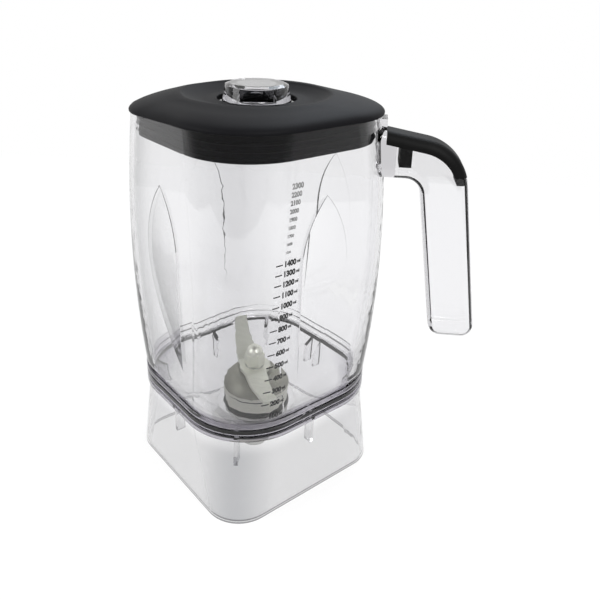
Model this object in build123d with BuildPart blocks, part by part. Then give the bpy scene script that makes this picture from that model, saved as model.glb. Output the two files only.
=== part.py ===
import os
from math import cos, radians, sin, sqrt, tan

from build123d import *

# Blender jar with its lid, filler cap and blade unit. Millimetres, +Z up, handle on +X.
# The origin is on the jar's axis, in the plane that the skirt stands on.
# The jar is square with its corners on the X and Y axes.

# Container
mouth_height = 249.0
belly_height = 160.0
mouth_side = 134.0
mouth_corner = 44.0
belly_side = 137.0
belly_corner = 36.0
waist_side = 130.0
waist_corner = 43.0
wall = 3.2
waist_wall = 5.0

# Ring of three bands round the waist
ring_height = 59.0
ring_band_count = 3
ring_band = 3.4
ring_gap = 1.4
ring_step = 2.0

# Bowl floor and skirt
floor_height = 38.0
floor_thickness = 5.0
floor_radius = 28.0
circle_blend = 0.995
bowl_rise = 6.0
base_side = 129.0
base_corner = 24.0
skirt_wall = 3.2
gusset_thickness = 2.4
gusset_height = 20.0
gusset_depth = 6.0

# Arched flutes in the four faces, a step on one side and running out to nothing on the other
flute_half_width = 17.0
flute_depth = 1.6
flute_peak_height = 211.0
flute_spring_height = 168.0
flute_margin = 2.0

# Handle at the +X corner
handle_width = 24.0
handle_wall = 3.0
handle_rounding = 6.5
handle_root_margin = 1.0
arm_height = 240.3
arm_drop = 10.0
arm_under_height = 211.0
arm_end_fillet = 32.0
arm_under_fillet = 10.0
leg_stand_off = 67.0
leg_thickness = 29.5
leg_lean = 8.5
leg_bottom = 105.0
leg_bottom_fillet = 8.0
post_width = 14.0
post_stand_off = 3.4
post_bottom = 192.0
post_point = 9.0
post_gap = 2.0

# Soft cover on top of the handle
cover_thickness = 7.5
cover_root_depth = 10.0
cover_end_depth = 14.0
cover_end_height = 214.0
tab_stand_off = 8.5
tab_length = 7.5
tab_drop = 12.7
core_lead = 2.0
tongue_drop = 5.0
tongue_thickness = 4.0
cover_clearance = 0.2

# Lid
lid_overhang = 1.5
lid_rim = 2.5
lid_rise = 6.0
lid_dome_steps = 5
lid_dome_sweep = 68.0
lid_rounding = 1.0
plug_depth = 16.0
plug_wall = 6.0
lid_clearance = 0.35
lid_rib_count = 3
lid_rib_height = 1.6
lid_rib_step = 0.9
lid_plate = 4.0
well_radius = 40.0
well_margin = 2.0
well_depth = 6.5
filler_radius = 20.5
filler_collar = 4.0
filler_collar_drop = 12.0

# Filler cap
cap_clearance = 0.35
cap_height = 13.0
cap_top_radius = 19.3
cap_foot_radius = 21.2
cap_flange_radius = 24.0
cap_flange_thickness = 2.0
cap_plug_depth = 14.0
cap_wall = 2.6
cap_top_thickness = 3.0
cap_dome = 1.2
cap_core_radius = 12.5
recess_width = 20.0
recess_depth = 4.5
recess_height = 7.0
recess_turn = -81.0

# Blade unit above the floor
shaft_radius = 4.0
gasket_thickness = 1.3
gasket_radius = 21.5
hub_radius = 23.7
hub_band_radius = 22.8
hub_groove_radius = 21.6
hub_band_height = 8.2
hub_groove_height = 1.2
hub_edge_height = 2.3
hub_dome_height = 9.0
hub_dome_radius = 18.0
hub_top_radius = 12.8
stem_radius = 15.0
stem_bottom = 16.5
stem_clearance = 0.4
blade_height = 62.0
blade_thickness = 2.5
blade_hub_radius = 11.0
blade_span = 36.0
blade_width = 19.0
blade_tip_width = 9.0
blade_tip_sweep = 2.0
blade_sweep_sagitta = 2.5
blade_turn = 120.0
wing_up = 37.0
wing_down = 12.0
blade_bend_shift = 1.2
washer_radius = 7.0
washer_thickness = 1.0
nut_flats = 13.0
nut_height = 8.5
nut_dome_radius = 6.4
shaft_flats = 6.0
thread_radius = 2.9
nut_bore_margin = 1.0

# Bushes and what stacks on the shaft
bush_radius = 7.0
bush_length = 10.0
lower_bush_bottom = 18.0
upper_bush_bottom = 40.0
stem_bore_radius = 6.0
running_clearance = 0.05
fit_clearance = 0.02
end_play = 0.1
thrust_washer_thickness = 0.8
spacer_radius = 5.6
spacer_head_radius = 8.5
spacer_head_height = 1.6
seal_radius = 9.5
seal_height = 7.0
seal_groove_depth = 3.0
seal_lip = 1.0

# Below the floor
clamp_washer_radius = 24.0
clamp_washer_thickness = 1.5
clamp_nut_flats = 40.0
clamp_nut_height = 8.0
socket_bottom = 4.0
socket_radius = 10.5
socket_body_height = 11.0
socket_nose_radius = 5.6
socket_depth = 5.5
socket_web = 2.5
spline_count = 12
spline_radius = 7.4
spline_depth = 1.2
spline_width = 1.8
screw_radius = 2.0
screw_length = 11.0
screw_head_radius = 3.6
screw_head_height = 2.4
screw_key_flats = 2.5
screw_key_depth = 1.4

# Levels that several pieces share
ring_pitch = ring_band + ring_gap
bowl_top = ring_height + bowl_rise
mouth_reach = mouth_side / 2 * sqrt(2) - mouth_corner * (sqrt(2) - 1)
post_reach = mouth_reach + post_stand_off
leg_reach = post_reach + leg_stand_off
tab_start = post_reach + tab_stand_off
plug_bottom = mouth_height - plug_depth
lid_top = mouth_height + lid_rim + lid_rise
well_floor = lid_top - well_depth
cap_seat = well_floor
floor_bottom = floor_height - floor_thickness
hub_bottom = floor_height + gasket_thickness
hub_edge_bottom = hub_bottom + hub_band_height + hub_groove_height
hub_dome_start = hub_edge_bottom + hub_edge_height
hub_top = hub_dome_start + hub_dome_height
upper_bush_top = upper_bush_bottom + bush_length
spacer_bottom = upper_bush_top + thrust_washer_thickness + end_play
socket_nose_top = lower_bush_bottom - thrust_washer_thickness - end_play
washer_seat = blade_height + blade_thickness
nut_seat = washer_seat + washer_thickness
socket_web_bottom = socket_bottom + socket_depth
shaft_bottom = socket_web_bottom + socket_web
inner_mouth_side = mouth_side - 2 * wall
inner_mouth_corner = mouth_corner - wall

os.makedirs("parts", exist_ok=True)


def square_plane(height):
    """Level plane with its axes along the jar's faces, so that the corners lie on X and Y."""
    return Plane.XY.offset(height).rotated((0, 0, 45))


def rounded_square(height, side, corner):
    with BuildSketch(square_plane(height)) as outline:
        RectangleRounded(side, side, corner)
    return outline.sketch


def near_circle(height, radius):
    """Circle drawn as a fully rounded square, so that it blends into the square outlines edge by edge."""
    return rounded_square(height, 2 * radius, circle_blend * radius)


def arm_top(x):
    """Height of the handle arm's top line at a distance from the axis."""
    return arm_height - tan(radians(arm_drop)) * (x - post_reach)


def leg_outer(z):
    """Distance of the handle leg's outer line from the axis at a height."""
    return leg_reach - tan(radians(leg_lean)) * (z - leg_bottom)


def handle_bend():
    """Where the arm's top line and the leg's outer line cross."""
    drop = tan(radians(arm_drop))
    lean = tan(radians(leg_lean))
    x = leg_reach - lean * (arm_height + drop * post_reach - leg_bottom)
    x = x / (1 - lean * drop)
    return x, arm_top(x)


def flute(side):
    """Arched wedge of one face, deepest at its edge on the given side."""
    outward = Vector(1, 1, 0).normalized()
    along = Vector(-1, 1, 0).normalized()
    face = belly_side / 2
    outside = face + flute_margin
    rise = flute_peak_height - flute_spring_height
    arch_radius = (flute_half_width**2 + rise**2) / (2 * flute_half_width)
    with BuildPart() as cutter:
        with BuildSketch(Plane((0, 0, floor_bottom), x_dir=outward, z_dir=(0, 0, 1))):
            with BuildLine():
                Polyline(
                    (outside, side * flute_half_width),
                    (face - flute_depth, side * flute_half_width),
                    (face, -side * flute_half_width),
                    (outside, -side * flute_half_width),
                    close=True,
                )
            make_face()
        extrude(amount=flute_peak_height)
        with BuildSketch(Plane(outward * (face / 2), x_dir=along, z_dir=outward)):
            with BuildLine():
                feet = Polyline(
                    (-flute_half_width, flute_spring_height),
                    (-flute_half_width, floor_bottom),
                    (flute_half_width, floor_bottom),
                    (flute_half_width, flute_spring_height),
                )
                rising = RadiusArc(feet @ 1, (0, flute_peak_height), -arch_radius)
                RadiusArc(rising @ 1, feet @ 0, -arch_radius)
            make_face()
        extrude(amount=face, mode=Mode.INTERSECT)
    return cutter.part


# Handle outline in the XZ plane: sloping arm, leaning leg, open towards the jar
bend_x, bend_z = handle_bend()
arm_root = mouth_side / 2
leg_inner_bottom = leg_reach - leg_thickness
leg_inner_top = leg_outer(arm_under_height) - leg_thickness
with BuildSketch(Plane.XZ) as handle_outline:
    with BuildLine():
        Polyline(
            (arm_root, arm_top(arm_root)),
            (bend_x, bend_z),
            (leg_reach, leg_bottom),
            (leg_inner_bottom, leg_bottom),
            (leg_inner_top, arm_under_height),
            (arm_root, arm_under_height),
            close=True,
        )
    make_face()
    fillet(handle_outline.vertices().sort_by_distance((bend_x, bend_z))[0], arm_end_fillet)
    inner_bend = (leg_inner_top, arm_under_height)
    fillet(handle_outline.vertices().sort_by_distance(inner_bend)[0], arm_under_fillet)
    fillet(handle_outline.vertices().group_by(Axis.Y)[0], leg_bottom_fillet)

with BuildPart() as handle:
    with BuildSketch(Plane.XZ.offset(-handle_width / 2)):
        add(handle_outline.sketch_local)
    extrude(amount=handle_width)
    rims = handle.faces().filter_by(Axis.Y).edges()
    fillet(rims.filter_by(lambda edge: edge.center().X > arm_root + handle_root_margin), handle_rounding)

# Space inside the handle
core_width = handle_width - 2 * handle_wall
with BuildPart() as handle_core:
    with BuildSketch(Plane.XZ.offset(-core_width / 2)):
        offset(handle_outline.sketch_local, amount=-handle_wall, kind=Kind.INTERSECTION)
        with Locations((tab_start - core_lead, arm_height)):
            Rectangle(handle_width, arm_height, align=(Align.MAX, Align.CENTER), mode=Mode.SUBTRACT)
    extrude(amount=core_width)

# Band along the top of the handle that the soft cover fills
cover_start = post_reach
cover_end = leg_outer(cover_end_height)
with BuildPart() as cover_band:
    with BuildSketch(Plane.XZ.offset(-handle_width / 2)):
        add(handle_outline.sketch_local)
        offset(handle_outline.sketch_local, amount=-cover_thickness, kind=Kind.INTERSECTION, mode=Mode.SUBTRACT)
        with BuildLine():
            Polyline(
                (cover_start, arm_height + cover_thickness),
                (cover_end + cover_thickness, arm_height + cover_thickness),
                (cover_end + cover_thickness, cover_end_height),
                (cover_end - cover_end_depth, cover_end_height),
                (cover_start, arm_top(cover_start) - cover_root_depth),
                close=True,
            )
        make_face(mode=Mode.INTERSECT)
    extrude(amount=handle_width)

# Jar: container, ring, skirt, post and handle as one clear moulding
with BuildPart() as container_core:
    loft(
        [
            rounded_square(bowl_top, waist_side - 2 * waist_wall, waist_corner - waist_wall),
            rounded_square(belly_height, belly_side - 2 * wall, belly_corner - wall),
            rounded_square(mouth_height, inner_mouth_side, inner_mouth_corner),
        ]
    )
    loft(
        [
            near_circle(floor_height, floor_radius),
            rounded_square(bowl_top, waist_side - 2 * waist_wall, waist_corner - waist_wall),
        ],
        ruled=True,
    )

with BuildPart() as bowl_under:
    loft(
        [
            near_circle(floor_bottom, floor_radius),
            rounded_square(ring_height, waist_side - 2 * skirt_wall, waist_corner - skirt_wall),
        ],
        ruled=True,
    )

with BuildPart() as skirt_core:
    loft(
        [
            rounded_square(0, base_side - 2 * skirt_wall, base_corner - skirt_wall),
            rounded_square(ring_height, waist_side - 2 * skirt_wall, waist_corner - skirt_wall),
        ],
        ruled=True,
    )
    add(bowl_under.part, mode=Mode.SUBTRACT)


def gusset(reach):
    """Upright rib under the ring, between the skirt and the bowl."""
    with BuildPart() as rib:
        with Locations((reach - gusset_depth, 0, ring_height)):
            Box(
                gusset_depth + skirt_wall / 2,
                gusset_thickness,
                gusset_height,
                align=(Align.MIN, Align.CENTER, Align.MAX),
            )
    return rib.part


skirt_face_reach = waist_side / 2 - skirt_wall
skirt_corner_reach = skirt_face_reach * sqrt(2) - (waist_corner - skirt_wall) * (sqrt(2) - 1)
with BuildPart() as jar:
    loft(
        [
            rounded_square(ring_height, waist_side, waist_corner),
            rounded_square(belly_height, belly_side, belly_corner),
            rounded_square(mouth_height, mouth_side, mouth_corner),
        ]
    )
    with PolarLocations(0, 2):
        add(flute(1), mode=Mode.SUBTRACT)
    with PolarLocations(0, 2, start_angle=90):
        add(flute(-1), mode=Mode.SUBTRACT)
    for band in range(ring_band_count):
        band_height = ring_height + band * ring_pitch
        add(rounded_square(band_height, waist_side + 2 * ring_step, waist_corner + ring_step))
        extrude(amount=ring_band)
    loft(
        [
            rounded_square(0, base_side, base_corner),
            rounded_square(ring_height, waist_side, waist_corner),
        ],
        ruled=True,
    )
    add(handle.part)
    with BuildSketch(Plane.XZ.offset(-post_width / 2)):
        with BuildLine():
            Polyline(
                (arm_root, mouth_height - post_gap),
                (post_reach, mouth_height - post_gap),
                (post_reach, post_bottom + post_point),
                (arm_root, post_bottom),
                close=True,
            )
        make_face()
    extrude(amount=post_width)
    add(handle_core.part, mode=Mode.SUBTRACT)
    add(cover_band.part, mode=Mode.SUBTRACT)
    add(container_core.part, mode=Mode.SUBTRACT)
    add(skirt_core.part, mode=Mode.SUBTRACT)
    with PolarLocations(0, 4):
        add(gusset(skirt_corner_reach))
    with PolarLocations(0, 4, start_angle=45):
        add(gusset(skirt_face_reach))
    with Locations((0, 0, floor_height)):
        Hole(stem_radius + stem_clearance, depth=2 * floor_thickness)
jar.part.label = "jar"
export_step(jar.part, "parts/jar.step")

# Soft cover: the rounded band, a tab into the arm and a tongue into the leg
tab_bottom = arm_top(tab_start) - cover_thickness - tab_drop
tongue_width = core_width - 2 * cover_clearance
tongue_outer = handle_wall + cover_clearance
tongue_inner = tongue_outer + tongue_thickness
with BuildPart() as handle_grip:
    add(cover_band.part)
    add(handle.part, mode=Mode.INTERSECT)
    with Locations((tab_start, 0, tab_bottom)):
        Box(
            tab_length,
            tongue_width,
            tab_drop + cover_thickness / 2,
            align=(Align.MIN, Align.CENTER, Align.MIN),
        )
    with BuildSketch(Plane.XZ.offset(-tongue_width / 2)):
        offset(handle_outline.sketch_local, amount=-tongue_outer, kind=Kind.INTERSECTION)
        offset(handle_outline.sketch_local, amount=-tongue_inner, kind=Kind.INTERSECTION, mode=Mode.SUBTRACT)
        with Locations((cover_end, cover_end_height - tongue_drop)):
            Rectangle(
                leg_thickness,
                tongue_drop + cover_clearance,
                align=(Align.CENTER, Align.MIN),
                mode=Mode.INTERSECT,
            )
    extrude(amount=tongue_width)
handle_grip.part.label = "handle_grip"
export_step(handle_grip.part, "parts/handle_grip.step")

# Lid: thin rim, pillow top with a round well, ribbed plug that is hollow underneath
lid_side = mouth_side + 2 * lid_overhang
lid_corner = mouth_corner + lid_overhang
rib_side = inner_mouth_side - 2 * lid_clearance
rib_corner = inner_mouth_corner - lid_clearance
plug_side = rib_side - 2 * lid_rib_step
plug_corner = rib_corner - lid_rib_step
rib_pitch = plug_depth / (lid_rib_count + 1)
lid_roof = well_floor - lid_plate
well_rim = well_radius + well_margin


def dome_outline(step):
    """Outline of the pillow top: from the rim's rounded square to a circle round the well."""
    sweep = radians(lid_dome_sweep)
    turn = sweep * step / lid_dome_steps
    inward = (1 - cos(turn)) / (1 - cos(sweep))
    height = mouth_height + lid_rim + lid_rise * sin(turn) / sin(sweep)
    side = lid_side + (2 * well_rim - lid_side) * inward
    corner = lid_corner + (circle_blend * well_rim - lid_corner) * inward
    return rounded_square(height, side, corner)


with BuildPart() as lid:
    add(rounded_square(mouth_height, lid_side, lid_corner))
    extrude(amount=lid_rim)
    loft([dome_outline(step) for step in range(lid_dome_steps + 1)])
    fillet(lid.edges().group_by(Axis.Z)[0], lid_rounding)
    add(rounded_square(plug_bottom, plug_side, plug_corner))
    extrude(amount=plug_depth)
    for rib in range(lid_rib_count):
        add(rounded_square(plug_bottom + (rib + 0.5) * rib_pitch, rib_side, rib_corner))
        extrude(amount=lid_rib_height)
    add(rounded_square(plug_bottom, plug_side - 2 * plug_wall, plug_corner - plug_wall))
    extrude(amount=lid_roof - plug_bottom, mode=Mode.SUBTRACT)
    with Locations((0, 0, lid_roof)):
        Cylinder(
            filler_radius + filler_collar,
            filler_collar_drop,
            align=(Align.CENTER, Align.CENTER, Align.MAX),
        )
    with BuildSketch(Plane.XZ):
        with BuildLine():
            Polyline(
                (0, lid_top + well_depth),
                (well_radius, lid_top + well_depth),
                (well_radius, lid_top),
                (cap_flange_radius + cap_clearance, well_floor),
                (filler_radius, well_floor),
                (filler_radius, plug_bottom),
                (0, plug_bottom),
                close=True,
            )
        make_face()
    revolve(axis=Axis.Z, mode=Mode.SUBTRACT)
lid.part.label = "lid"
export_step(lid.part, "parts/lid.step")

# Filler cap: clear cup with a domed top, a flange that rests in the well and two finger recesses
cap_top = cap_seat + cap_height
cap_bottom = cap_seat - cap_plug_depth
cap_plug_radius = filler_radius - cap_clearance
cap_step = cap_seat + cap_flange_thickness
with BuildPart() as filler_cap:
    with BuildSketch(Plane.XZ):
        with BuildLine():
            Polyline(
                (0, cap_top),
                (0, cap_top - cap_top_thickness),
                (cap_core_radius, cap_top - cap_top_thickness),
                (cap_core_radius, cap_step),
                (cap_plug_radius - cap_wall, cap_step),
                (cap_plug_radius - cap_wall, cap_bottom),
                (cap_plug_radius, cap_bottom),
                (cap_plug_radius, cap_seat),
                (cap_flange_radius, cap_seat),
                (cap_flange_radius, cap_step),
                (cap_foot_radius, cap_step),
                (cap_top_radius, cap_top - cap_dome),
                (cap_top_radius - 2 * cap_dome, cap_top),
                close=True,
            )
        make_face()
    revolve(axis=Axis.Z)
    with PolarLocations(cap_foot_radius - recess_depth, 2, start_angle=recess_turn):
        with Locations((0, 0, cap_step + cap_flange_thickness)):
            Box(
                2 * recess_depth,
                recess_width,
                recess_height,
                align=(Align.MIN, Align.CENTER, Align.MIN),
                mode=Mode.SUBTRACT,
            )
filler_cap.part.label = "filler_cap"
export_step(filler_cap.part, "parts/filler_cap.step")

# Gasket and steel hub on the floor; the hub's stem passes through the floor
with BuildPart() as floor_gasket:
    with BuildSketch(Plane.XY.offset(floor_height)):
        Circle(gasket_radius)
        Circle(stem_radius + stem_clearance, mode=Mode.SUBTRACT)
    extrude(amount=gasket_thickness)
floor_gasket.part.label = "floor_gasket"
export_step(floor_gasket.part, "parts/floor_gasket.step")

hub_groove_bottom = hub_bottom + hub_band_height
bush_bore = bush_radius + fit_clearance
seal_bore = seal_radius + fit_clearance
with BuildPart() as bearing_housing:
    with BuildSketch(Plane.XZ):
        with BuildLine():
            side = Polyline(
                (stem_radius, stem_bottom),
                (stem_radius, hub_bottom),
                (hub_band_radius, hub_bottom),
                (hub_band_radius, hub_groove_bottom),
                (hub_groove_radius, hub_groove_bottom),
                (hub_groove_radius, hub_edge_bottom),
                (hub_radius, hub_edge_bottom),
                (hub_radius, hub_dome_start),
            )
            dome = RadiusArc(side @ 1, (hub_top_radius, hub_top), -hub_dome_radius)
            inside = Polyline(
                dome @ 1,
                (seal_bore, hub_top),
                (seal_bore, upper_bush_top),
                (bush_bore, upper_bush_top),
                (bush_bore, upper_bush_bottom),
                (stem_bore_radius, upper_bush_bottom),
                (stem_bore_radius, lower_bush_bottom + bush_length),
                (bush_bore, lower_bush_bottom + bush_length),
                (bush_bore, stem_bottom),
            )
            Line(inside @ 1, side @ 0)
        make_face()
    revolve(axis=Axis.Z)
bearing_housing.part.label = "bearing_housing"
export_step(bearing_housing.part, "parts/bearing_housing.step")


def ring(label, bottom, height, outer, inner):
    """Plain ring round the axis: bushes, washers and spacers."""
    with BuildPart() as piece:
        with BuildSketch(Plane.XY.offset(bottom)):
            Circle(outer)
            Circle(inner, mode=Mode.SUBTRACT)
        extrude(amount=height)
    piece.part.label = label
    export_step(piece.part, f"parts/{label}.step")


shaft_bore = shaft_radius + running_clearance
upper_washer_bottom = upper_bush_top
lower_washer_bottom = lower_bush_bottom - thrust_washer_thickness
ring("upper_bush", upper_bush_bottom, bush_length, bush_radius, shaft_bore)
ring("lower_bush", lower_bush_bottom, bush_length, bush_radius, shaft_bore)
ring("upper_thrust_washer", upper_washer_bottom, thrust_washer_thickness, bush_radius, shaft_bore)
ring("lower_thrust_washer", lower_washer_bottom, thrust_washer_thickness, bush_radius, shaft_bore)
ring("blade_washer", washer_seat, washer_thickness, washer_radius, thread_radius + fit_clearance)
ring(
    "housing_washer",
    floor_bottom - clamp_washer_thickness,
    clamp_washer_thickness,
    clamp_washer_radius,
    stem_radius + stem_clearance,
)

# Lip seal between the hub and the collar that carries the blade
seal_bottom = upper_bush_top + thrust_washer_thickness + end_play
seal_inner = spacer_radius + running_clearance
with BuildPart() as shaft_seal:
    with BuildSketch(Plane.XZ):
        with BuildLine():
            Polyline(
                (seal_radius, seal_bottom),
                (seal_radius, seal_bottom + seal_height),
                (seal_radius - seal_lip, seal_bottom + seal_height),
                (seal_inner + seal_lip, seal_bottom + seal_height - seal_groove_depth),
                (seal_inner + seal_lip, seal_bottom + seal_height),
                (seal_inner, seal_bottom + seal_height),
                (seal_inner, seal_bottom),
                close=True,
            )
        make_face()
    revolve(axis=Axis.Z)
shaft_seal.part.label = "shaft_seal"
export_step(shaft_seal.part, "parts/shaft_seal.step")

# Collar on the shaft: a sleeve through the seal with a head under the blade
with BuildPart() as blade_spacer:
    with BuildSketch(Plane.XY.offset(spacer_bottom)):
        Circle(spacer_radius)
    extrude(amount=blade_height - spacer_bottom)
    with BuildSketch(Plane.XY.offset(blade_height - spacer_head_height)):
        Circle(spacer_head_radius)
    extrude(amount=spacer_head_height)
    with Locations((0, 0, blade_height)):
        Hole(shaft_radius + fit_clearance)
blade_spacer.part.label = "blade_spacer"
export_step(blade_spacer.part, "parts/blade_spacer.step")

# Shaft: round through the bushes, two flats through the blade, threaded end, tapped from below
thread_top = nut_seat + nut_height
with BuildPart() as shaft:
    with BuildSketch(Plane.XY.offset(shaft_bottom)):
        Circle(shaft_radius)
    extrude(amount=blade_height - shaft_bottom)
    with BuildSketch(Plane.XY.offset(blade_height)):
        Circle(shaft_radius)
        Rectangle(2 * shaft_radius, shaft_flats, rotation=blade_turn, mode=Mode.INTERSECT)
    extrude(amount=blade_thickness)
    with BuildSketch(Plane.XY.offset(washer_seat)):
        Circle(thread_radius)
    extrude(amount=thread_top - washer_seat)
    with BuildSketch(Plane.XY.offset(shaft_bottom)):
        Circle(screw_radius + fit_clearance)
    extrude(amount=screw_length, mode=Mode.SUBTRACT)
shaft.part.label = "shaft"
export_step(shaft.part, "parts/shaft.step")

# Blade: sheet with one wing bent up and one bent down, cut to a pair of swept wings
blade_out = Vector(cos(radians(blade_turn)), sin(radians(blade_turn)), 0)
blade_aside = Vector(sin(radians(blade_turn)), -cos(radians(blade_turn)), 0)
blade_line = Plane((0, 0, blade_height), x_dir=blade_out, z_dir=blade_aside)
wing_run = blade_span - blade_hub_radius
up_rise = wing_run * tan(radians(wing_up))
down_drop = wing_run * tan(radians(wing_down))
up_thickness = blade_thickness / cos(radians(wing_up))
down_thickness = blade_thickness / cos(radians(wing_down))
with BuildPart() as blade:
    with BuildSketch(blade_line.offset(-blade_width)):
        with BuildLine():
            Polyline(
                (-blade_span, -down_drop),
                (-blade_hub_radius, 0),
                (blade_hub_radius, 0),
                (blade_span, up_rise),
                (blade_span, up_rise + up_thickness),
                (blade_hub_radius - blade_bend_shift, blade_thickness),
                (-blade_hub_radius, blade_thickness),
                (-blade_span, -down_drop + down_thickness),
                close=True,
            )
        make_face()
    extrude(amount=2 * blade_width)
    with BuildSketch(Plane.XY.offset(blade_height - blade_span).rotated((0, 0, blade_turn))) as wings:
        Circle(blade_hub_radius)
        for facing in (1, -1):
            with BuildLine():
                root = Line((0, -facing * blade_width / 2), (0, facing * blade_width / 2))
                tip_front = (facing * blade_span, facing * blade_tip_sweep)
                tip_back = (facing * blade_span, facing * (blade_tip_sweep - blade_tip_width))
                front = SagittaArc(root @ 1, tip_front, facing * blade_sweep_sagitta)
                tip = Line(front @ 1, tip_back)
                SagittaArc(tip @ 1, root @ 0, -facing * blade_sweep_sagitta)
            make_face()
    extrude(wings.sketch, amount=2 * blade_span, mode=Mode.INTERSECT)
    with BuildSketch(Plane.XY.offset(blade_height)):
        Circle(shaft_radius + fit_clearance)
        Rectangle(3 * shaft_radius, shaft_flats + 2 * fit_clearance, rotation=blade_turn, mode=Mode.INTERSECT)
    extrude(amount=blade_thickness, mode=Mode.SUBTRACT)
blade.part.label = "blade"
export_step(blade.part, "parts/blade.step")

# Domed nut that closes the thread
with BuildPart() as blade_nut:
    with BuildSketch(Plane.XY.offset(nut_seat)):
        RegularPolygon(nut_flats / 2, 6, major_radius=False)
    extrude(amount=nut_height)
    with Locations((0, 0, nut_seat + nut_height)):
        Sphere(nut_dome_radius)
    with BuildSketch(Plane.XY.offset(nut_seat)):
        Circle(thread_radius + fit_clearance)
    extrude(amount=nut_height + nut_bore_margin, mode=Mode.SUBTRACT)
blade_nut.part.label = "blade_nut"
export_step(blade_nut.part, "parts/blade_nut.step")

# Large nut under the floor
clamp_nut_top = floor_bottom - clamp_washer_thickness
with BuildPart() as housing_nut:
    with BuildSketch(Plane.XY.offset(clamp_nut_top - clamp_nut_height)):
        RegularPolygon(clamp_nut_flats / 2, 6, major_radius=False)
        Circle(stem_radius + fit_clearance, mode=Mode.SUBTRACT)
    extrude(amount=clamp_nut_height)
housing_nut.part.label = "housing_nut"
export_step(housing_nut.part, "parts/housing_nut.step")

# Splined drive socket under the shaft, with its screw
with BuildPart() as drive_coupling:
    with BuildSketch(Plane.XY.offset(socket_bottom)):
        Circle(socket_radius)
    extrude(amount=socket_body_height)
    with BuildSketch(Plane.XY.offset(socket_bottom + socket_body_height)):
        Circle(socket_nose_radius)
    extrude(amount=socket_nose_top - socket_bottom - socket_body_height)
    with BuildSketch(Plane.XY.offset(socket_bottom)):
        Circle(spline_radius)
        with PolarLocations(spline_radius, spline_count):
            Rectangle(2 * spline_depth, spline_width, mode=Mode.SUBTRACT)
    extrude(amount=socket_depth, mode=Mode.SUBTRACT)
    with BuildSketch(Plane.XY.offset(shaft_bottom)):
        Circle(shaft_radius + fit_clearance)
    extrude(amount=socket_nose_top - shaft_bottom, mode=Mode.SUBTRACT)
    with BuildSketch(Plane.XY.offset(socket_web_bottom)):
        Circle(screw_radius + fit_clearance)
    extrude(amount=socket_web, mode=Mode.SUBTRACT)
drive_coupling.part.label = "drive_coupling"
export_step(drive_coupling.part, "parts/drive_coupling.step")

with BuildPart() as coupling_screw:
    with BuildSketch(Plane.XY.offset(socket_web_bottom - screw_head_height)):
        Circle(screw_head_radius)
    extrude(amount=screw_head_height)
    with BuildSketch(Plane.XY.offset(socket_web_bottom)):
        Circle(screw_radius)
    extrude(amount=screw_length)
    with BuildSketch(Plane.XY.offset(socket_web_bottom - screw_head_height)):
        RegularPolygon(screw_key_flats / 2, 6, major_radius=False)
    extrude(amount=screw_key_depth, mode=Mode.SUBTRACT)
coupling_screw.part.label = "coupling_screw"
export_step(coupling_screw.part, "parts/coupling_screw.step")
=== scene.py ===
import math

import bmesh
import bpy
from mathutils import Matrix, Vector


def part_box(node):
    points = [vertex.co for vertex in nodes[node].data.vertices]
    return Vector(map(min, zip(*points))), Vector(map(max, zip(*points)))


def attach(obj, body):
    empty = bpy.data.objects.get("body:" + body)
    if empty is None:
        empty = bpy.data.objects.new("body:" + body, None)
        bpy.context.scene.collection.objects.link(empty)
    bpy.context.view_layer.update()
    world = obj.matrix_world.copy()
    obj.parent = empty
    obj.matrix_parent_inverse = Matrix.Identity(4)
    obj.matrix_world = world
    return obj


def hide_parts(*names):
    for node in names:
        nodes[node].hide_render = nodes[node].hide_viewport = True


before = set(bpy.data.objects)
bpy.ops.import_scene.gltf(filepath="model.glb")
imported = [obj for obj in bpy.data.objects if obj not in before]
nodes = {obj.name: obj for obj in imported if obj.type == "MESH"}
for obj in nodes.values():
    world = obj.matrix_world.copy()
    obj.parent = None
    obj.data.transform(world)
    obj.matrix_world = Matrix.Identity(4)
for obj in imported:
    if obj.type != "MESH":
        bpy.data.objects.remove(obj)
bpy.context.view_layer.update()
print("frame loaded:", len(nodes), "nodes")


class Wire:
    # a node's output that can take part in Python sums
    def __init__(self, finish, socket):
        self.finish = finish
        self.socket = socket

    def sum(self, operation, first, second):
        return self.finish.node("ShaderNodeMath", {"operation": operation}, {0: first, 1: second})

    def __add__(self, other):
        return self.sum("ADD", self, other)

    def __radd__(self, other):
        return self.sum("ADD", other, self)

    def __sub__(self, other):
        return self.sum("SUBTRACT", self, other)

    def __rsub__(self, other):
        return self.sum("SUBTRACT", other, self)

    def __mul__(self, other):
        return self.sum("MULTIPLY", self, other)

    def __rmul__(self, other):
        return self.sum("MULTIPLY", other, self)


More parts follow.
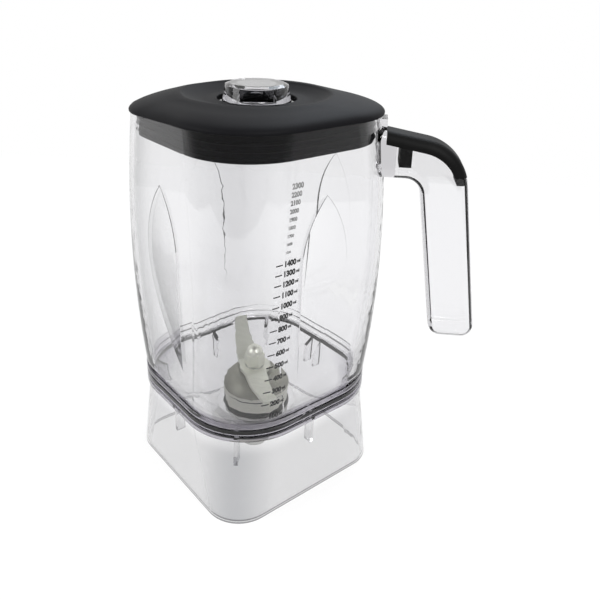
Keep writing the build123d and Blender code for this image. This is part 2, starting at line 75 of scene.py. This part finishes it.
class Finish:
    # one material; node() adds any node: settings first, then values or wires
    def __init__(self, name, world=None):
        self.owner = world or bpy.data.materials.new(name)
        self.owner.use_nodes = True
        self.tree = self.owner.node_tree
        self.tree.nodes.clear()

    def node(self, kind, settings=None, inputs=None, out=0):
        made = self.tree.nodes.new(kind)
        for key, value in (settings or {}).items():
            if key == "stops":
                for stop, (place, colour) in zip(made.color_ramp.elements, value):
                    stop.position = place
                    stop.color = (*colour, 1)
            else:
                setattr(made, key, value)
        for key, value in (inputs or {}).items():
            if isinstance(value, Wire):
                self.tree.links.new(value.socket, made.inputs[key])
            else:
                made.inputs[key].default_value = value
        return Wire(self, made.outputs[out] if made.outputs else None)

    def here(self, scale=(1, 1, 1), turn=(0, 0, 0)):
        place = self.node("ShaderNodeTexCoord", out="Object")
        return self.node("ShaderNodeMapping", {}, {"Vector": place, "Scale": scale, "Rotation": turn})

    def axes(self):
        # the object's own x, y and z
        place = self.node("ShaderNodeTexCoord", out="Object")
        parts = self.node("ShaderNodeSeparateXYZ", {}, {"Vector": place}).socket.node
        return [Wire(self, parts.outputs[axis]) for axis in "XYZ"]

    def noise(self, vector, scale, detail=3.0, rough=0.5):
        return self.node(
            "ShaderNodeTexNoise", {}, {"Vector": vector, "Scale": scale, "Detail": detail, "Roughness": rough}
        )

    def between(self, value, low, high):
        return value * (high - low) + low

    def step(self, value, start, end):
        return self.node(
            "ShaderNodeMapRange",
            {"interpolation_type": "SMOOTHSTEP"},
            {"Value": value, "From Min": start, "From Max": end},
        )

    def apart(self, value):
        return self.node("ShaderNodeMath", {"operation": "ABSOLUTE"}, {0: value})

    def root(self, value):
        return self.node("ShaderNodeMath", {"operation": "SQRT"}, {0: value})

    def larger(self, first, second):
        return self.node("ShaderNodeMath", {"operation": "MAXIMUM"}, {0: first, 1: second})

    def mix(self, factor, first, second):
        def colour(value):
            return value if isinstance(value, Wire) else (*value, 1)

        return self.node(
            "ShaderNodeMix",
            {"data_type": "RGBA"},
            {0: factor, 6: colour(first), 7: colour(second)},
            out=2,
        )

    def tone(self, factor, dark, light, ends=(0.3, 0.7)):
        stops = list(zip(ends, (dark, light)))
        return self.node("ShaderNodeValToRGB", {"stops": stops}, {"Fac": factor})

    def bump(self, height, strength, distance):
        return self.node(
            "ShaderNodeBump", {}, {"Height": height, "Strength": strength, "Distance": distance}, out="Normal"
        )

    def surface(self, **sockets):
        names = {key.replace("_", " "): value for key, value in sockets.items()}
        return self.node("ShaderNodeBsdfPrincipled", {}, names)

    def finish(self, shader, volume=None):
        inputs = {"Surface": shader}
        if volume:
            inputs["Volume"] = volume
        self.node("ShaderNodeOutputMaterial", {}, inputs)
        return self.owner


# Clear plastic of the jar and the cap
clearMix = {
    "tint": (0.985, 0.985, 0.99),
    "ior": 1.5,
    "haze": (0.0, 0.03),
    "scuffScale": 90.0,
    "rippleScale": 22.0,
    "rippleStretch": (1, 1, 0.4),
    "rippleStrength": 0.05,
    "rippleHeight": 0.002,
    "smoke": (0.62, 0.612, 0.632, 1),
    "jarDensity": 46.0,
    "capDensity": 52.0,
}

# Darker places of the jar, all painted shade, in metres; a pair runs from where a tint starts to where it is
# full
jarTones = {
    # painted shade on the thick floor ring, near side only, deeper in its lower half
    "ring": (0.058, 0.073),
    "ringSoft": 0.0006,
    "ringSide": (0.035, 0.005),
    "ringRadius": (0.056, 0.062),
    "ringTint": (0.52, 0.505, 0.55),
    "ringLowTint": (0.47, 0.455, 0.5),
    "bandSoft": 0.001,
    # painted shade on the skirt, heavier on its near side and at its near corner
    "skirtSoft": 0.012,
    "skirtSide": (0.05, -0.03),
    "skirtTint": (0.81, 0.81, 0.815),
    "skirtCornerRadius": (0.067, 0.072),
    "skirtCornerTint": (0.58, 0.585, 0.6),
    # painted shade down the near corner
    "cornerWidth": 0.02957,
    "cornerSide": (0.01, -0.04),
    "cornerTint": (0.81, 0.81, 0.82),
    # painted shade down the left corner, above the skirt
    "leftWidth": 0.02545,
    "leftSide": (0.01, -0.05),
    "leftTint": (0.62, 0.625, 0.625),
    # painted shadow: a thin dark line round the foot
    "footHeight": (0.00144, 0.0009),
    "footTint": (0.11, 0.11, 0.115),
    # painted shade along the flute edges that face the near corner
    "fluteHalf": 0.017,
    "fluteSpring": 0.168,
    "flutePeak": 0.211,
    "fluteLine": 0.0017,
    "fluteFace": (0.045, 0.055),
    "fluteFoot": (0.09, 0.14),
    "fluteTip": 0.004,
    "fluteTint": (0.74, 0.74, 0.75),
}

capTones = {
    "dome": (0.2612, 0.2628),
    # painted shade on the sides below the dome
    "sideShadeTint": (0.8, 0.8, 0.82),
    # painted shadow round the flange
    "flangeShadeTop": (0.2534, 0.253),
    "flangeShadeFoot": (0.2506, 0.2509),
    "flangeShadeTint": (0.02, 0.02, 0.02),
}


def fluteEdge(f, across, outward, height):
    # painted shade: a soft line along the pointed arch, on the side that faces the near corner
    s = jarTones
    half, spring, peak = s["fluteHalf"], s["fluteSpring"], s["flutePeak"]
    radius = (half**2 + (peak - spring) ** 2) / (2 * half)
    rise = f.larger(height - spring, 0.0)
    side = across + (radius - half)
    off = f.apart(f.root(side * side + rise * rise) - radius)
    line = f.step(off, s["fluteLine"], 0.0) * f.step(outward, *s["fluteFace"])
    return line * f.step(height, *s["fluteFoot"]) * f.step(height, peak, peak - s["fluteTip"])


def jarTint(f):
    # painted shade: darker at the ring, the near and left corners, the skirt, the foot and the edges of the
    # flutes
    s = jarTones
    x, y, z = f.axes()
    radius = f.root(x * x + y * y)
    low, high = s["ring"]
    ring = f.step(z, low - s["ringSoft"], low) * f.step(z, high + s["ringSoft"], high)
    ring = ring * f.step(y, *s["ringSide"]) * f.step(radius, *s["ringRadius"])
    skirt = f.step(z, low, low - s["skirtSoft"])
    corner = f.step(f.apart(x), s["cornerWidth"], 0.0) * f.step(y, *s["cornerSide"])
    corner = corner * f.larger(1 - skirt, f.step(radius, *s["skirtCornerRadius"]))
    left = f.step(f.apart(y), s["leftWidth"], 0.0) * f.step(x, *s["leftSide"]) * (1 - skirt)
    plain = f.mix(skirt * f.step(y, *s["skirtSide"]), clearMix["tint"], s["skirtTint"])
    cornerShade = f.mix(skirt, s["cornerTint"], s["skirtCornerTint"])
    walls = f.mix(left, f.mix(corner, plain, cornerShade), s["leftTint"])
    outRight = (x - y) * math.sqrt(0.5)
    outLeft = (x + y) * -math.sqrt(0.5)
    edges = f.larger(fluteEdge(f, outRight, outLeft, z), fluteEdge(f, outLeft, outRight, z))
    walls = f.mix(edges, walls, s["fluteTint"])
    walls = f.mix(f.step(z, *s["footHeight"]), walls, s["footTint"])
    middle = (low + high) / 2
    lower = f.step(z, middle + s["bandSoft"], middle - s["bandSoft"])
    return f.mix(ring, walls, f.mix(lower, s["ringTint"], s["ringLowTint"]))


def capTint(f):
    # clear dome, painted shade on the sides, and a painted shadow round the flange
    s = capTones
    height = f.axes()[2]
    clear = f.mix(f.step(height, *s["dome"]), s["sideShadeTint"], clearMix["tint"])
    flangeShade = f.step(height, *s["flangeShadeTop"]) * f.step(height, *s["flangeShadeFoot"])
    return f.mix(flangeShade, clear, s["flangeShadeTint"])


def clearPlastic(name, density, tint):
    s = clearMix
    f = Finish(name)
    scuff = f.noise(f.here(), s["scuffScale"], detail=4.0)
    ripple = f.noise(f.here(scale=s["rippleStretch"]), s["rippleScale"], detail=2.0)
    shader = f.surface(
        Base_Color=tint(f),
        Roughness=f.between(scuff, *s["haze"]),
        IOR=s["ior"],
        Transmission_Weight=1.0,
        Normal=f.bump(ripple, s["rippleStrength"], s["rippleHeight"]),
    )
    smoke = f.node("ShaderNodeVolumeAbsorption", {}, {"Color": s["smoke"], "Density": density})
    return f.finish(shader, smoke)


rubberMix = {
    "cloudScale": 26.0,
    "cloudEnds": (0.3, 0.75),
    "poreScale": 1400.0,
    "poreHeight": 0.0003,
    "rimShade": 0.9,
}


def blackRubber(name, dark, light, rough, grain, shine, rim=None):
    s = rubberMix
    f = Finish(name)
    cloud = f.noise(f.here(), s["cloudScale"], detail=4.0)
    pores = f.noise(f.here(), s["poreScale"], detail=2.0)
    colour = f.tone(cloud, dark, light, s["cloudEnds"])
    if rim:
        # painted shade: the lower edge is darker, nearly black
        black = tuple(s["rimShade"] * part for part in dark)
        colour = f.mix(f.step(f.axes()[2], *rim), black, colour)
    shader = f.surface(
        Base_Color=colour,
        Roughness=f.between(cloud, *rough),
        Specular_IOR_Level=shine,
        Normal=f.bump(pores, grain, s["poreHeight"]),
    )
    return f.finish(shader)


steelMix = {
    "lineScale": 60.0,
    "lineRough": 0.6,
    "lineShare": 0.55,
    "lineStrength": 0.08,
    "lineHeight": 0.0004,
    "cloudScale": 45.0,
}


def steel(name, dark, light, rough, stretch, turn=(0, 0, 0), metal=1.0, paint=None):
    s = steelMix
    f = Finish(name)
    lines = f.noise(f.here(scale=stretch, turn=turn), s["lineScale"], detail=4.0, rough=s["lineRough"])
    cloud = f.noise(f.here(), s["cloudScale"])
    grain = lines * s["lineShare"] + cloud * (1 - s["lineShare"])
    colour = f.tone(grain, dark, light)
    if paint:
        colour = paint(f, grain, colour)
    shader = f.surface(
        Base_Color=colour,
        Metallic=metal,
        Roughness=f.between(lines, *rough),
        Normal=f.bump(lines, s["lineStrength"], s["lineHeight"]),
    )
    return f.finish(shader)


# The hub's dome is darker than its band, painted shade, with a painted shadow in a groove near the band's top
hubTones = {
    "domeDark": (0.32, 0.32, 0.265),
    "domeLight": (0.46, 0.455, 0.385),
    "domeDepth": 0.009,
    "domeSoft": 0.0003,
    "groove": (0.0113, 0.0125),
    "grooveSoft": 0.0002,
    "grooveShadow": (0.05, 0.05, 0.05),
}


def hubPaint(f, grain, band):
    s = hubTones
    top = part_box("bearing_housing")[1][2]
    depth = top - f.axes()[2]
    # painted shade on the dome and a painted shadow in the groove
    dome = f.tone(grain, s["domeDark"], s["domeLight"])
    colour = f.mix(f.step(depth, s["domeDepth"] - s["domeSoft"], s["domeDepth"]), dome, band)
    high, low = s["groove"]
    groove = f.step(depth, high - s["grooveSoft"], high) * f.step(depth, low + s["grooveSoft"], low)
    return f.mix(groove, colour, s["grooveShadow"])


plasticMix = {
    "cloudScale": 220.0,
    "rough": (0.35, 0.5),
    "grain": 0.05,
    "grainHeight": 0.0003,
}


def plainPlastic(name, dark, light):
    s = plasticMix
    f = Finish(name)
    cloud = f.noise(f.here(), s["cloudScale"], detail=4.0)
    shader = f.surface(
        Base_Color=f.tone(cloud, dark, light),
        Roughness=f.between(cloud, *s["rough"]),
        Normal=f.bump(cloud, s["grain"], s["grainHeight"]),
    )
    return f.finish(shader)


jarClear = clearPlastic("jarClear", clearMix["jarDensity"], jarTint)
capClear = clearPlastic("capClear", clearMix["capDensity"], capTint)
lidRubber = blackRubber(
    "lidRubber",
    dark=(0.005, 0.005, 0.006),
    light=(0.01, 0.01, 0.011),
    rough=(0.45, 0.6),
    grain=0.2,
    shine=0.06,
    # painted shade along the lower edge
    rim=(0.2515, 0.2545),
)
gripRubber = blackRubber(
    "gripRubber",
    dark=(0.003, 0.003, 0.003),
    light=(0.006, 0.006, 0.006),
    rough=(0.42, 0.55),
    grain=0.15,
    shine=0.06,
)
gasketRubber = blackRubber(
    "gasketRubber",
    dark=(0.008, 0.008, 0.009),
    light=(0.018, 0.018, 0.018),
    rough=(0.45, 0.6),
    grain=0.2,
    shine=0.3,
)
bladeSteel = steel(
    "bladeSteel",
    dark=(0.76, 0.77, 0.67),
    light=(0.93, 0.94, 0.83),
    rough=(0.32, 0.46),
    stretch=(1, 12, 1),
    turn=(0, 0, math.radians(-30)),
    metal=0.55,
)
hubSteel = steel(
    "hubSteel",
    dark=(0.87, 0.87, 0.78),
    light=(0.98, 0.975, 0.89),
    rough=(0.46, 0.6),
    stretch=(1, 1, 14),
    metal=0.75,
    paint=hubPaint,
)
plainSteel = steel(
    "plainSteel", dark=(0.42, 0.42, 0.41), light=(0.6, 0.6, 0.58), rough=(0.25, 0.4), stretch=(1, 1, 9)
)
bushBronze = steel(
    "bushBronze", dark=(0.42, 0.26, 0.12), light=(0.6, 0.4, 0.2), rough=(0.35, 0.5), stretch=(1, 1, 3)
)
washerNylon = plainPlastic("washerNylon", dark=(0.7, 0.69, 0.65), light=(0.82, 0.81, 0.78))
markInk = plainPlastic("markInk", dark=(0.004, 0.004, 0.004), light=(0.01, 0.01, 0.01))
markPale = plainPlastic("markPale", dark=(0.1, 0.1, 0.1), light=(0.2, 0.2, 0.2))
print("finishes made")

# Nodes that aren't named here are plain steel
nodeFinish = {
    "jar": jarClear,
    "filler_cap": capClear,
    "handle_grip": gripRubber,
    "lid": lidRubber,
    "floor_gasket": gasketRubber,
    "shaft_seal": gasketRubber,
    "blade": bladeSteel,
    "blade_nut": bladeSteel,
    "bearing_housing": hubSteel,
    "upper_bush": bushBronze,
    "lower_bush": bushBronze,
    "upper_thrust_washer": washerNylon,
    "lower_thrust_washer": washerNylon,
}
for name, node in nodes.items():
    for slot in node.material_slots:
        slot.material = nodeFinish.get(name, plainSteel)
print("solids painted")


def squareReach(side, corner, angle):
    # distance to the outline of a rounded square whose corners lie on X and Y
    turn = math.remainder(angle - math.pi / 4, math.pi / 2)
    flat = side / 2 - corner
    if side / 2 * math.tan(abs(turn)) <= flat:
        return side / 2 / math.cos(turn)
    along = flat * (math.cos(turn) + math.sin(abs(turn)))
    across = flat * (math.cos(turn) - math.sin(abs(turn)))
    return along + math.sqrt(corner**2 - across**2)


def soften(points, rounds):
    # cuts every corner of an open profile, so that its turns come out round
    for step in range(rounds):
        cut = [points[0]]
        for here, there in zip(points, points[1:]):
            cut.append(tuple(h * 0.75 + t * 0.25 for h, t in zip(here, there)))
            cut.append(tuple(h * 0.25 + t * 0.75 for h, t in zip(here, there)))
        points = cut + [points[-1]]
    return points


def sweptRings(name, rings, segments):
    # closed skin through outlines given as side, corner radius and height, in millimetres
    bm = bmesh.new()
    loop = bmesh.ops.create_circle(bm, segments=segments, radius=1.0)["verts"]
    edges = list(bm.edges)
    firstEdges = edges
    for count, (side, corner, height) in enumerate(rings):
        if count:
            made = bmesh.ops.extrude_edge_only(bm, edges=edges)["geom"]
            edges = [g for g in made if isinstance(g, bmesh.types.BMEdge)]
            loop = [g for g in made if isinstance(g, bmesh.types.BMVert)]
        for v in loop:
            angle = math.atan2(v.co.y, v.co.x)
            reach = squareReach(side, corner, angle) / 1000
            v.co = (reach * math.cos(angle), reach * math.sin(angle), height / 1000)
    bmesh.ops.bridge_loops(bm, edges=firstEdges + edges)
    bmesh.ops.recalc_face_normals(bm, faces=bm.faces)
    return meshPiece(name, bm)


def meshPiece(name, bm, crease=35.0):
    # smooth shading, with sharp edges where faces turn by more than the crease angle
    for face in bm.faces:
        face.smooth = True
    for edge in bm.edges:
        if len(edge.link_faces) == 2 and edge.calc_face_angle(0) > math.radians(crease):
            edge.smooth = False
    mesh = bpy.data.meshes.new(name)
    bm.to_mesh(mesh)
    bm.free()
    piece = bpy.data.objects.new(name, mesh)
    bpy.context.scene.collection.objects.link(piece)
    return piece


def dress(piece, finish, body):
    piece.data.materials.append(finish)
    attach(piece, body)


# Lid: a soft pillow with a round well, rubber ribs on its plug, hollow underneath; millimetres
lidShape = {
    "mouth": 249.0,
    "side": 137.0,
    "corner": 45.5,
    "rim": 2.5,
    "rise": 6.0,
    "wellRim": 45.5,
    "wellLip": 1.0,
    "wellFloor": 251.0,
    "wellFoot": 24.35,
    "wellRound": 0.995,
    "seatTop": 254.9,
    "seatRound": 0.999,
    "filler": 20.5,
    "plugBottom": 233.0,
    "plugSide": 125.1,
    "plugCorner": 39.55,
    "plugEdge": 0.5,
    "ribStep": 0.9,
    "ribs": 3,
    "ribPitch": 4.0,
    "ribHeight": 1.6,
    "ribProfile": ((0, 0), (0.7, 0.15), (1, 0.5), (0.7, 0.85), (0, 1)),
    "plugWall": 6.0,
    "roof": 247.0,
    "collar": 24.5,
    "collarBottom": 235.0,
    "segments": 192,
    "softenRounds": 3,
    "jarSide": 134.0,
    "jarCorner": 44.0,
    "droop": 3.4,
    "droopReach": 30.0,
    "droopEdge": 1.5,
    "droopUnder": 0.9,
    "droopGap": 0.05,
    "droopTurn": 1.35,
    "facingDown": -0.2,
}


def smooth(share):
    share = min(max(share, 0.0), 1.0)
    return share * share * (3 - 2 * share)


def droopTip(lid):
    # the soft rim hangs a little lower over the corner away from the handle
    s = lidShape
    facing = [v.normal.z for v in lid.data.vertices]  # read before any vertex moves
    for v, up in zip(lid.data.vertices, facing):
        if v.co.z * 1000 < s["mouth"] - s["droopGap"]:
            continue
        angle = math.atan2(v.co.y, v.co.x)
        turn = smooth(1 - abs(math.remainder(angle - math.pi, 2 * math.pi)) / s["droopTurn"])
        out = math.hypot(v.co.x, v.co.y) * 1000 - squareReach(s["jarSide"], s["jarCorner"], angle)
        if up < s["facingDown"]:
            share = smooth((out - s["droopGap"]) / s["droopUnder"])  # the underside stays clear of the jar
        else:
            share = smooth((out + s["droopReach"]) / (s["droopReach"] + s["droopEdge"]))
        v.co.z -= s["droop"] / 1000 * turn * share


def makeLid():
    s = lidShape
    rings = []
    # underside and plug, from the inner wall outwards
    edge = s["plugEdge"]
    bottom = s["plugBottom"]
    innerSide = s["plugSide"] - 2 * s["plugWall"]
    innerCorner = s["plugCorner"] - s["plugWall"]
    rings.append((innerSide, innerCorner, s["roof"]))
    rings.append((innerSide, innerCorner, bottom + edge))
    rings.append((innerSide + 2 * edge, innerCorner + edge, bottom))
    rings.append((s["plugSide"] - 2 * edge, s["plugCorner"] - edge, bottom))
    rings.append((s["plugSide"], s["plugCorner"], bottom + edge))
    for rib in range(s["ribs"]):
        low = bottom + (rib + 0.5) * s["ribPitch"]
        for out, up in s["ribProfile"]:
            side = s["plugSide"] + 2 * s["ribStep"] * out
            rings.append((side, s["plugCorner"] + s["ribStep"] * out, low + s["ribHeight"] * up))
    rings.append((s["plugSide"], s["plugCorner"], s["mouth"] - 0.2))
    # rim, pillow and well as one soft line
    rimTop = s["mouth"] + s["rim"]
    top = rimTop + s["rise"]
    well = s["wellRim"] * s["wellRound"]
    skin = [
        (s["plugSide"] + 3, s["plugCorner"] + 1.5, s["mouth"]),
        (s["side"] - 3, s["corner"] - 1.5, s["mouth"]),
        (s["side"], s["corner"], s["mouth"] + 0.1),
        (s["side"], s["corner"], s["mouth"] + s["rim"] * 0.9),
        (s["side"] - 6, s["corner"] - 1, rimTop + s["rise"] * 0.36),
        (s["side"] - 18, s["corner"] - 2, rimTop + s["rise"] * 0.72),
        (s["side"] - 32, s["corner"] - 1, top - 0.4),
        (2 * s["wellRim"] + 6, s["wellRim"] + 2.5, top + s["wellLip"] * 0.8),
        (2 * s["wellRim"], well, top + s["wellLip"]),
        (2 * s["wellRim"] - 4, well - 2, top - 0.4),
        (2 * s["wellFoot"] + 20, s["wellFoot"] + 9.9, s["seatTop"] - 0.7),
        (2 * s["wellFoot"] + 6, s["wellFoot"] + 2.9, s["seatTop"] - 0.3),
        (2 * s["wellFoot"] + 1, s["wellFoot"] + 0.45, s["seatTop"]),
    ]
    rings += soften(skin, s["softenRounds"])
    # seat of the cap, filler hole, collar and roof
    for radius, height in (
        (s["wellFoot"], s["seatTop"] - 0.4),
        (s["wellFoot"], s["wellFloor"]),
        (s["filler"] + 0.5, s["wellFloor"]),
        (s["filler"], s["wellFloor"] - 0.5),
        (s["filler"], s["collarBottom"]),
        (s["collar"], s["collarBottom"]),
        (s["collar"], s["roof"]),
    ):
        rings.append((2 * radius, radius * s["seatRound"], height))
    lid = sweptRings("lidSkin", rings, s["segments"])
    droopTip(lid)
    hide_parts("lid")
    dress(lid, lidRubber, "lid_body")


# Scale on the near right face: short strokes with plain numbers, and a paler, smaller row above them
scaleMarks = {
    "face": 315.0,
    "bottom": 76.2,
    "step": 9.63,
    "stepLoss": 0.146,
    "count": 14,
    "first": 100,
    "numberStep": 100,
    "size": 4.6,
    "narrow": 0.92,
    "weight": 0.065,
    "middle": 0.34,
    "curveSteps": 3,
    "unit": "ml",
    "unitSize": 2.6,
    "strokeLength": 4.6,
    "strokeHeight": 0.8,
    "strokeSegments": 6,
    "numberGap": 0.9,
    "startLow": -42.0,
    "startHigh": -35.8,
    "paleBottom": 183.4,
    "paleStep": 4.65,
    "paleCount": 9,
    "paleSizes": (2.0, 4.2),
    "paleStarts": (-29.6, -25.4),
    "castFrom": 0.12,
    "depth": 0.00006,
}


def textShape(body, size):
    curve = bpy.data.curves.new("markText", "FONT")
    curve.body = body
    curve.size = size
    curve.offset = scaleMarks["weight"] * size
    curve.resolution_u = scaleMarks["curveSteps"]
    holder = bpy.data.objects.new("markText", curve)
    bpy.context.scene.collection.objects.link(holder)
    graph = bpy.context.evaluated_depsgraph_get()
    shape = bpy.data.meshes.new_from_object(holder.evaluated_get(graph))
    bpy.data.objects.remove(holder)
    return shape


def writeNumber(bm, body, size, across, height):
    # sets one number at a place on the flat layout and gives the end of its line
    s = scaleMarks
    shape = textShape(str(body), size)
    known = set(bm.verts)
    bm.from_mesh(shape)
    bpy.data.meshes.remove(shape)
    fresh = [v for v in bm.verts if v not in known]
    for v in fresh:
        v.co = (across + v.co.x * s["narrow"], height + v.co.y - size * s["middle"], 0)
    return max(v.co.x for v in fresh)


def layOnFace(bm):
    # from across and height in millimetres onto the jar's own surface
    s = scaleMarks
    angle = math.radians(s["face"])
    outward = Vector((math.cos(angle), math.sin(angle), 0))
    along = Vector((-math.sin(angle), math.cos(angle), 0))
    jar = nodes["jar"]
    toLocal = jar.matrix_world.inverted()
    inward = toLocal.to_3x3() @ -outward
    for v in bm.verts:
        flat = along * v.co.x / 1000 + Vector((0, 0, v.co.y / 1000))
        hit, spot, normal, index = jar.ray_cast(toLocal @ (flat + outward * s["castFrom"]), inward)
        v.co = jar.matrix_world @ spot + outward * s["depth"]
    bmesh.ops.recalc_face_normals(bm, faces=bm.faces)


def makeScale():
    s = scaleMarks
    bm = bmesh.new()
    for mark in range(s["count"]):
        # wider steps where the jar is narrow
        height = s["bottom"] + mark * s["step"] - mark**2 * s["stepLoss"]
        start = s["startLow"] + (s["startHigh"] - s["startLow"]) * mark / (s["count"] - 1)
        grid = bmesh.ops.create_grid(bm, x_segments=s["strokeSegments"], y_segments=1, size=0.5)
        for v in grid["verts"]:
            v.co = (start + (v.co.x + 0.5) * s["strokeLength"], height + v.co.y * s["strokeHeight"], 0)
        number = s["first"] + mark * s["numberStep"]
        end = writeNumber(bm, number, s["size"], start + s["strokeLength"] + s["numberGap"], height)
        writeNumber(bm, s["unit"], s["unitSize"], end + s["numberGap"] / 2, height)
    layOnFace(bm)
    dress(meshPiece("scaleStrong", bm), markInk, "jar_body")
    bm = bmesh.new()
    for mark in range(s["paleCount"]):
        share = mark / (s["paleCount"] - 1)
        size = s["paleSizes"][0] + (s["paleSizes"][1] - s["paleSizes"][0]) * share
        start = s["paleStarts"][0] + (s["paleStarts"][1] - s["paleStarts"][0]) * share
        number = s["first"] + (s["count"] + mark) * s["numberStep"]
        writeNumber(bm, number, size, start, s["paleBottom"] + mark * s["paleStep"])
    layOnFace(bm)
    dress(meshPiece("scalePale", bm), markPale, "jar_body")


makeLid()
print("lid made")
makeScale()
print("scale made")

# Studio: white floor and surroundings, soft lamps
studio = {
    "floorSize": 0.7,
    "floorColour": (0.8, 0.8, 0.8, 1),
    "floorGlow": 0.86,
    "white": (1, 1, 1),
    "roomTone": (0.15, 0.15, 0.15),
    "roomSide": (0.6, -0.4),
    "aim": (0.03, 0.0, 0.14),
}

# Disc lamps; through: also seen through clear plastic
lamps = {
    "keyLamp": {
        "place": (0.55, -0.65, 0.85),
        "size": 0.7,
        "power": 9.0,
        "colour": (1, 1, 1),
        "through": True,
    },
    "fillLamp": {
        "place": (-0.7, -0.35, 0.6),
        "size": 0.8,
        "power": 5.0,
        "colour": (1, 1, 1),
        "through": True,
    },
    "sheenLamp": {
        "place": (0.22, 0.62, 0.82),
        "size": 0.5,
        "power": 2.4,
        "colour": (0.82, 0.9, 1.0),
        "through": False,
    },
}


def seen(f):
    # one for rays that look at the floor, straight or by way of gloss and glass
    path = f.node("ShaderNodeLightPath").socket.node
    rays = [Wire(f, path.outputs[n]) for n in ("Is Camera Ray", "Is Glossy Ray", "Is Transmission Ray")]
    return f.larger(f.larger(rays[0], rays[1]), rays[2])


def makeFloor():
    bm = bmesh.new()
    bmesh.ops.create_grid(bm, x_segments=1, y_segments=1, size=studio["floorSize"])
    floor = meshPiece("studioFloor", bm)
    f = Finish("floorWhite")
    paper = f.node("ShaderNodeBsdfDiffuse", {}, {"Color": studio["floorColour"]})
    glow = f.node("ShaderNodeEmission", {}, {"Color": (*studio["white"], 1), "Strength": 1.0})
    share = seen(f) * studio["floorGlow"]
    floor.data.materials.append(f.finish(f.node("ShaderNodeMixShader", {}, {0: share, 1: paper, 2: glow})))


def makeSky():
    # white all round, but reflections, not what is seen straight through the jar, meet a darker room
    world = bpy.data.worlds.new("studioSky")
    bpy.context.scene.world = world
    f = Finish("studioSky", world)
    toward = f.node("ShaderNodeTexCoord", out="Generated")
    depth = f.node("ShaderNodeSeparateXYZ", {}, {"Vector": toward}, out="Y")
    bounces = f.node("ShaderNodeLightPath", out="Glossy Depth")
    mirrored = f.step(bounces, 0.0, 1.0)
    colour = f.mix(mirrored * f.step(depth, *studio["roomSide"]), studio["white"], studio["roomTone"])
    sky = f.node("ShaderNodeBackground", {}, {"Color": colour, "Strength": 1.0})
    f.node("ShaderNodeOutputWorld", {}, {"Surface": sky})


def makeLamp(name, settings):
    data = bpy.data.lights.new(name, "AREA")
    data.shape = "DISK"
    data.size = settings["size"]
    data.energy = settings["power"]
    data.color = settings["colour"]
    lamp = bpy.data.objects.new(name, data)
    lamp.location = settings["place"]
    aim = Vector(studio["aim"]) - Vector(settings["place"])
    lamp.rotation_euler = aim.to_track_quat("-Z", "Y").to_euler()
    lamp.visible_camera = False
    lamp.visible_transmission = settings["through"]
    bpy.context.scene.collection.objects.link(lamp)


makeFloor()
makeSky()
for name, settings in lamps.items():
    makeLamp(name, settings)
print("studio lit")

# Camera as the photograph was taken: from the front, above, a little turned and rolled
view = {
    "place": (0.06419, -0.39988, 0.32927),
    "heading": 4.81,
    "tilt": 69.0,
    "roll": 1.94,
    "lens": 39.8,
    "sensor": 36.0,
    "shift": (-0.0044, -0.129),
    "clip": (0.01, 50.0),
}


def makeCamera():
    data = bpy.data.cameras.new("photoCamera")
    data.sensor_width = view["sensor"]
    data.lens = view["lens"]
    data.shift_x, data.shift_y = view["shift"]
    data.clip_start, data.clip_end = view["clip"]
    camera = bpy.data.objects.new("photoCamera", data)
    turn = Matrix.Rotation(math.radians(view["heading"]), 4, "Z")
    tilt = Matrix.Rotation(math.radians(view["tilt"]), 4, "X")
    roll = Matrix.Rotation(math.radians(view["roll"]), 4, "Z")
    camera.matrix_world = Matrix.Translation(view["place"]) @ turn @ tilt @ roll
    bpy.context.scene.collection.objects.link(camera)
    bpy.context.scene.camera = camera


makeCamera()
bpy.context.scene.view_settings.view_transform = "Standard"
